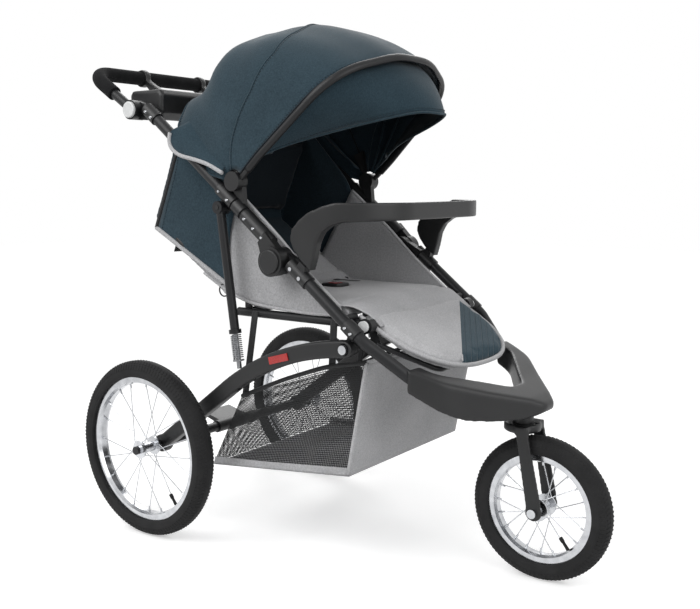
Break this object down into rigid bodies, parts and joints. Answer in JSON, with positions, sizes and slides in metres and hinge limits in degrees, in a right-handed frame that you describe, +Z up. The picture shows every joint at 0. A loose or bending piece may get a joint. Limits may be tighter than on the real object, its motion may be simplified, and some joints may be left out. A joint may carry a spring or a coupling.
{
  "type": "baby stroller",
  "caption": "Jogging baby stroller: folding tube frame, tilting handle, folding canopy with visor, reclining seat, legrest, child tray, basket, sprung rear arms and a swivelling front wheel.",
  "frame": {"origin": "bottom centre of the bounding box, on the floor", "axes": "X forward along the travel, Y to the stroller's left, Z up"},
  "size_m": [1.1725, 0.646, 1.112],
  "materials": {
    "frame_black": "satin black powder coat",
    "plastic_black": "satin moulded black",
    "handle_black": "satin black powder coat",
    "grip_foam": "matte foam",
    "button_white": "smooth white",
    "red_clear": "moulded red",
    "fabric_blue": "slate blue melange weave",
    "fabric_grey": "light grey melange weave",
    "fabric_dark": "dark padded weave",
    "mesh_black": "open black mesh",
    "chrome": "bright chrome",
    "spring_steel": "zinc plated",
    "tyre_black": "matte rubber"
  },
  "bodies": {
    "lower_frame": {"lower_tubes": "frame_black", "fold_lower_sockets": "plastic_black", "fold_pins": "chrome", "front_bumper": "plastic_black", "swivel_housing": "plastic_black", "arm_brackets": "plastic_black", "seat_rails": "frame_black", "seat_pad": "fabric_grey", "seat_sides": "fabric_grey", "basket_mesh": "mesh_black", "basket_base": "fabric_grey", "tray_mounts": "plastic_black", "harness_buckle": "plastic_black", "frame_rivets": "chrome"},
    "upper_frame": {"upper_tubes": "frame_black", "fold_upper_sockets": "plastic_black", "hub_caps": "plastic_black", "canopy_mounts": "plastic_black", "strut_brackets": "plastic_black", "handle_housings": "plastic_black", "canopy_rear_panel": "fabric_blue"},
    "canopy_front": {"canopy_front_bow": "plastic_black", "canopy_front_panel": "fabric_blue"},
    "visor": {"canopy_visor": "fabric_blue"},
    "handle": {"handlebar": "handle_black", "handle_grip": "grip_foam", "parent_tray": "plastic_black"},
    "left_button": {"left_handle_button": "button_white"},
    "right_button": {"right_handle_button": "button_white"},
    "backrest": {"backrest_panel": "fabric_grey", "head_bolster": "fabric_dark", "back_sides": "fabric_blue", "shoulder_straps": "fabric_dark"},
    "legrest": {"legrest_pad": "fabric_grey", "legrest_frame": "frame_black"},
    "left_release": {"left_legrest_button": "button_white"},
    "right_release": {"right_legrest_button": "button_white"},
    "buckle_press": {"buckle_button": "red_clear"},
    "tray": {"child_tray": "plastic_black"},
    "rear_arms": {"suspension_arms": "plastic_black", "pivot_bushes": "plastic_black", "rear_axle": "frame_black", "side_reflectors": "red_clear"},
    "brake": {"brake_pedal": "plastic_black"},
    "struts": {"strut_tubes": "frame_black", "strut_springs": "spring_steel"},
    "rods": {"strut_rods": "spring_steel"},
    "fork": {"front_fork": "plastic_black", "front_axle": "chrome"},
    "lock": {"swivel_lock": "chrome"},
    "front_wheel": {"front_tyre": "tyre_black", "front_rim": "chrome", "front_spokes": "chrome"},
    "left_wheel": {"left_rear_tyre": "tyre_black", "left_rear_rim": "chrome", "left_rear_spokes": "chrome"},
    "right_wheel": {"right_rear_tyre": "tyre_black", "right_rear_rim": "chrome", "right_rear_spokes": "chrome"}
  },
  "joints": [
    {"name": "frame_fold", "type": "hinge", "parent": "lower_frame", "child": "upper_frame", "pos_m": [-0.03471, 0, 0.62101], "axis": [0, -1, 0], "range_deg": [0, 50]},
    {"name": "strut_swing", "type": "hinge", "parent": "upper_frame", "child": "struts", "pos_m": [-0.18181, 0, 0.72524], "axis": [0, -1, 0], "range_deg": [-33.77, 0.5]},
    {"name": "arm_swing", "type": "hinge", "parent": "lower_frame", "child": "rear_arms", "pos_m": [0.14205, 0, 0.46252], "axis": [0, -1, 0], "range_deg": [-0.5, 28.76]},
    {"name": "suspension", "type": "slide", "parent": "struts", "child": "rods", "axis": [-0.1412, 0, 0.99], "range_m": [0, 0.015], "stiffness_N_per_m": 15000, "springref_m": -0.012, "deforming": ["strut_springs"]},
    {"name": "handle_tilt", "type": "hinge", "parent": "upper_frame", "child": "handle", "pos_m": [-0.43039, 0, 0.93319], "axis": [0, -1, 0], "range_deg": [-50, 25]},
    {"name": "left_button_press", "type": "slide", "parent": "handle", "child": "left_button", "axis": [0, -1, 0], "range_m": [0, 0.004], "stiffness_N_per_m": 900},
    {"name": "right_button_press", "type": "slide", "parent": "handle", "child": "right_button", "axis": [0, 1, 0], "range_m": [0, 0.004], "stiffness_N_per_m": 900},
    {"name": "canopy_fold", "type": "hinge", "parent": "upper_frame", "child": "canopy_front", "pos_m": [-0.13947, 0, 0.77845], "axis": [0, -1, 0], "range_deg": [0, 35]},
    {"name": "visor_slide", "type": "hinge", "parent": "canopy_front", "child": "visor", "pos_m": [-0.13947, 0, 0.77845], "axis": [0, -1, 0], "range_deg": [0, 9]},
    {"name": "recline", "type": "hinge", "parent": "lower_frame", "child": "backrest", "pos_m": [-0.164, 0, 0.54], "axis": [0, 1, 0], "range_deg": [0, 38]},
    {"name": "legrest_lift", "type": "hinge", "parent": "lower_frame", "child": "legrest", "pos_m": [0.159, 0, 0.503], "axis": [0, -1, 0], "range_deg": [0, 23]},
    {"name": "left_release_press", "type": "slide", "parent": "lower_frame", "child": "left_release", "axis": [0, -1, 0], "range_m": [0, 0.003], "stiffness_N_per_m": 900},
    {"name": "right_release_press", "type": "slide", "parent": "lower_frame", "child": "right_release", "axis": [0, 1, 0], "range_m": [0, 0.003], "stiffness_N_per_m": 900},
    {"name": "buckle_button_press", "type": "slide", "parent": "lower_frame", "child": "buckle_press", "axis": [0, 0, -1], "range_m": [0, 0.0015], "stiffness_N_per_m": 900},
    {"name": "tray_lift", "type": "slide", "parent": "lower_frame", "child": "tray", "axis": [0.6225, 0, 0.7826], "range_m": [0, 0.06]},
    {"name": "brake_press", "type": "hinge", "parent": "rear_arms", "child": "brake", "pos_m": [-0.369, 0, 0.195], "axis": [0, -1, 0], "range_deg": [0, 20]},
    {"name": "front_swivel", "type": "hinge", "parent": "lower_frame", "child": "fork", "pos_m": [0.396, 0, 0.3], "axis": [0, 0, 1], "continuous": true},
    {"name": "swivel_lock_drop", "type": "slide", "parent": "lower_frame", "child": "lock", "axis": [0, 0, -1], "range_m": [0, 0.006]},
    {"name": "front_wheel_spin", "type": "hinge", "parent": "fork", "child": "front_wheel", "pos_m": [0.44, 0, 0.144], "axis": [0, 1, 0], "continuous": true},
    {"name": "left_wheel_spin", "type": "hinge", "parent": "rear_arms", "child": "left_wheel", "pos_m": [-0.369, 0.29, 0.195], "axis": [0, 1, 0], "continuous": true},
    {"name": "right_wheel_spin", "type": "hinge", "parent": "rear_arms", "child": "right_wheel", "pos_m": [-0.369, -0.29, 0.195], "axis": [0, 1, 0], "continuous": true}
  ],
  "couplings": [
    {"joint": "strut_swing", "follows": "frame_fold", "ratio": -0.66537},
    {"joint": "arm_swing", "follows": "frame_fold", "ratio": 0.56517},
    {"joint": "right_button_press", "follows": "left_button_press", "ratio": 1},
    {"joint": "right_release_press", "follows": "left_release_press", "ratio": 1}
  ]
}
